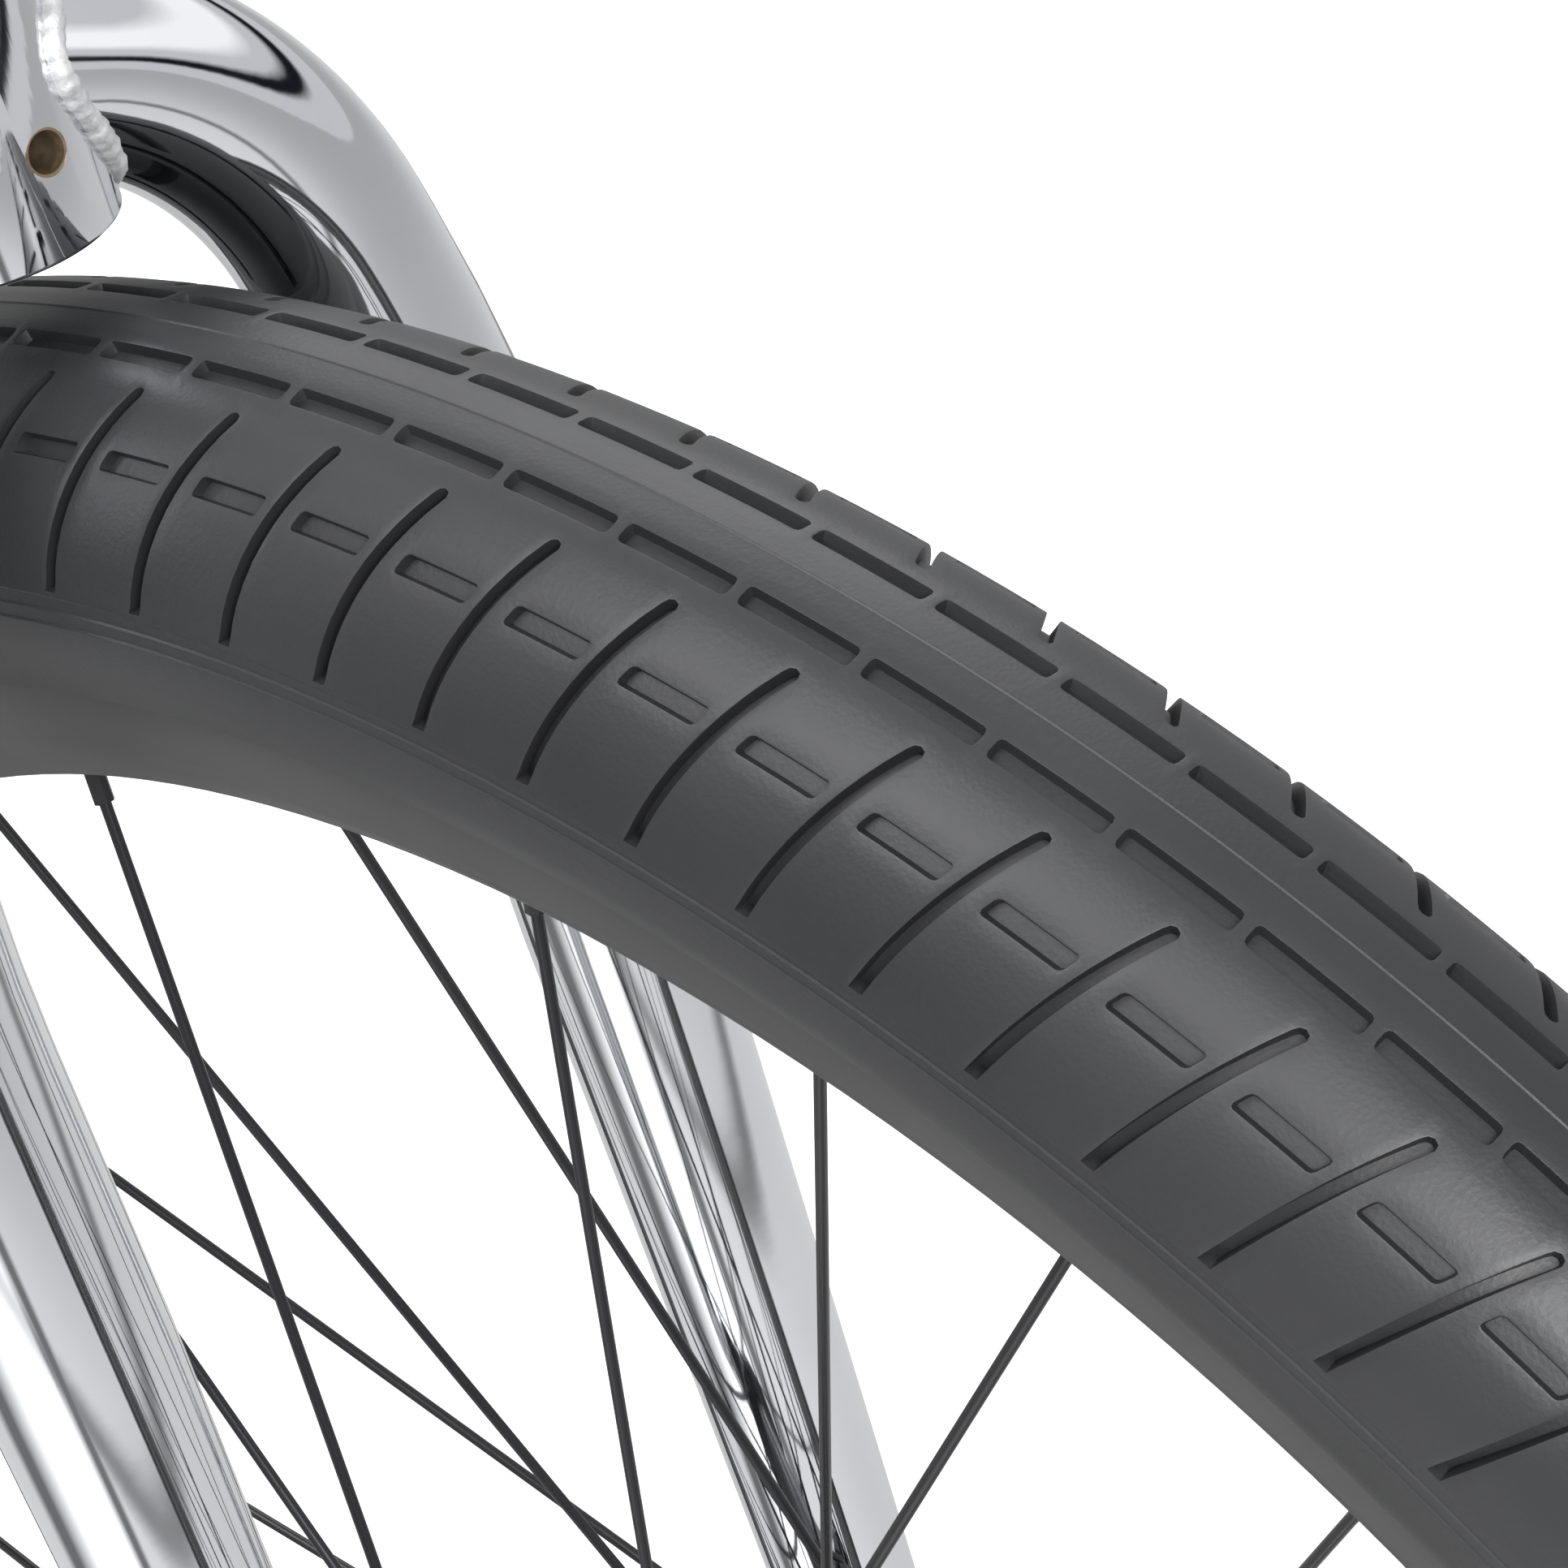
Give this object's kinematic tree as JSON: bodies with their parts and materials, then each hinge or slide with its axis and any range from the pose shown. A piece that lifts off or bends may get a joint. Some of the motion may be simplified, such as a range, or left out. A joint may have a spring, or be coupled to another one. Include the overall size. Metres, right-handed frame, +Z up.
{
  "type": "bmx bike",
  "caption": "Freestyle BMX bike with chrome frame and fork, black slick-groove tyres, high-rise bars, platform pedals and a padded seat.",
  "frame": {"origin": "on the ground, midway between the two axles, in the bike's middle plane", "axes": "+X forward, +Y to the rider's left, +Z up"},
  "size_m": [1.6838, 0.7448, 1.0811],
  "materials": {
    "chrome_tube": "polished chrome plate",
    "black_alloy": "satin black anodised or painted",
    "steel": "plain steel",
    "bolts": "black oxide steel",
    "tyre": "matte black rubber",
    "rubber": "black rubber",
    "black_wire": "black coated steel",
    "black_plastic": "moulded nylon",
    "seat_cover": "woven black cover"
  },
  "bodies": {
    "frame": {"head_tube": "chrome_tube", "top_tube": "chrome_tube", "down_tube": "chrome_tube", "seat_tube": "chrome_tube", "bb_shell": "chrome_tube", "chain_stays": "chrome_tube", "seat_stays": "chrome_tube", "stay_bridges": "chrome_tube", "rear_dropouts": "chrome_tube", "seat_clamp": "black_alloy", "seat_clamp_bolt": "bolts", "headset_bearings": "steel", "bb_bearings": "steel", "rear_axle": "steel", "rear_axle_nuts": "bolts", "chain": "steel"},
    "steering": {"steerer": "chrome_tube", "fork_legs": "chrome_tube", "fork_dropouts": "chrome_tube", "crown_race": "steel", "headset_spacers": "black_alloy", "stem": "black_alloy", "stem_face_plate": "black_alloy", "stem_bolts": "bolts", "top_cap": "black_alloy", "front_axle": "steel", "front_axle_nuts": "bolts"},
    "bars": {"handlebar": "chrome_tube", "crossbar": "chrome_tube", "grips": "rubber", "bar_end_plugs": "black_plastic"},
    "front_wheel": {"front_tyre": "tyre", "front_inner_tube": "rubber", "front_rim": "black_alloy", "front_rim_strip": "rubber", "front_spokes": "black_wire", "front_nipples": "black_wire", "front_hub": "black_alloy", "front_hub_bearings": "steel"},
    "rear_wheel": {"rear_tyre": "tyre", "rear_inner_tube": "rubber", "rear_rim": "black_alloy", "rear_rim_strip": "rubber", "rear_spokes": "black_wire", "rear_nipples": "black_wire", "rear_hub": "black_alloy", "rear_hub_bearings": "steel", "freewheel_core": "steel"},
    "freewheel": {"freewheel_cog": "steel"},
    "crank": {"crank_spindle": "steel", "crank_arms": "chrome_tube", "crank_bolts": "bolts", "sprocket": "black_alloy", "pedal_axles": "steel"},
    "left_pedal_body": {"left_pedal": "black_plastic"},
    "right_pedal_body": {"right_pedal": "black_plastic"},
    "seat_pillar": {"seat_post": "black_alloy"},
    "seat": {"seat_base": "black_plastic", "seat_pad": "seat_cover", "seat_bolt": "bolts"}
  },
  "joints": [
    {"name": "steer", "type": "hinge", "parent": "frame", "child": "steering", "pos_m": [0.47616, 0, 0.32873], "axis": [-0.2756, 0, 0.9613], "continuous": true},
    {"name": "bar_roll", "type": "hinge", "parent": "steering", "child": "bars", "pos_m": [0.37534, 0, 0.87261], "axis": [0, 1, 0], "range_deg": [-15, 15]},
    {"name": "front_wheel_spin", "type": "hinge", "parent": "steering", "child": "front_wheel", "pos_m": [0.505, 0, 0.337], "axis": [0, 1, 0], "continuous": true},
    {"name": "rear_wheel_spin", "type": "hinge", "parent": "frame", "child": "rear_wheel", "pos_m": [-0.505, 0, 0.337], "axis": [0, 1, 0], "continuous": true},
    {"name": "crank_spin", "type": "hinge", "parent": "frame", "child": "crank", "pos_m": [-0.10233, 0, 0.3], "axis": [0, 1, 0], "continuous": true, "deforming": ["chain"]},
    {"name": "freewheel_spin", "type": "hinge", "parent": "frame", "child": "freewheel", "pos_m": [-0.505, 0, 0.337], "axis": [0, 1, 0], "continuous": true},
    {"name": "left_pedal_spin", "type": "hinge", "parent": "crank", "child": "left_pedal_body", "pos_m": [-0.27733, 0.1, 0.3], "axis": [0, 1, 0], "continuous": true},
    {"name": "right_pedal_spin", "type": "hinge", "parent": "crank", "child": "right_pedal_body", "pos_m": [0.07266, -0.1, 0.3], "axis": [0, 1, 0], "continuous": true},
    {"name": "seat_height", "type": "slide", "parent": "frame", "child": "seat_pillar", "axis": [-0.3256, 0, 0.9455], "range_m": [-0.02, 0.05]},
    {"name": "seat_tilt", "type": "hinge", "parent": "seat_pillar", "child": "seat", "pos_m": [-0.22735, 0, 0.66308], "axis": [0, 1, 0], "range_deg": [-10, 10]}
  ],
  "couplings": [
    {"joint": "freewheel_spin", "follows": "crank_spin", "ratio": 2.25}
  ]
}
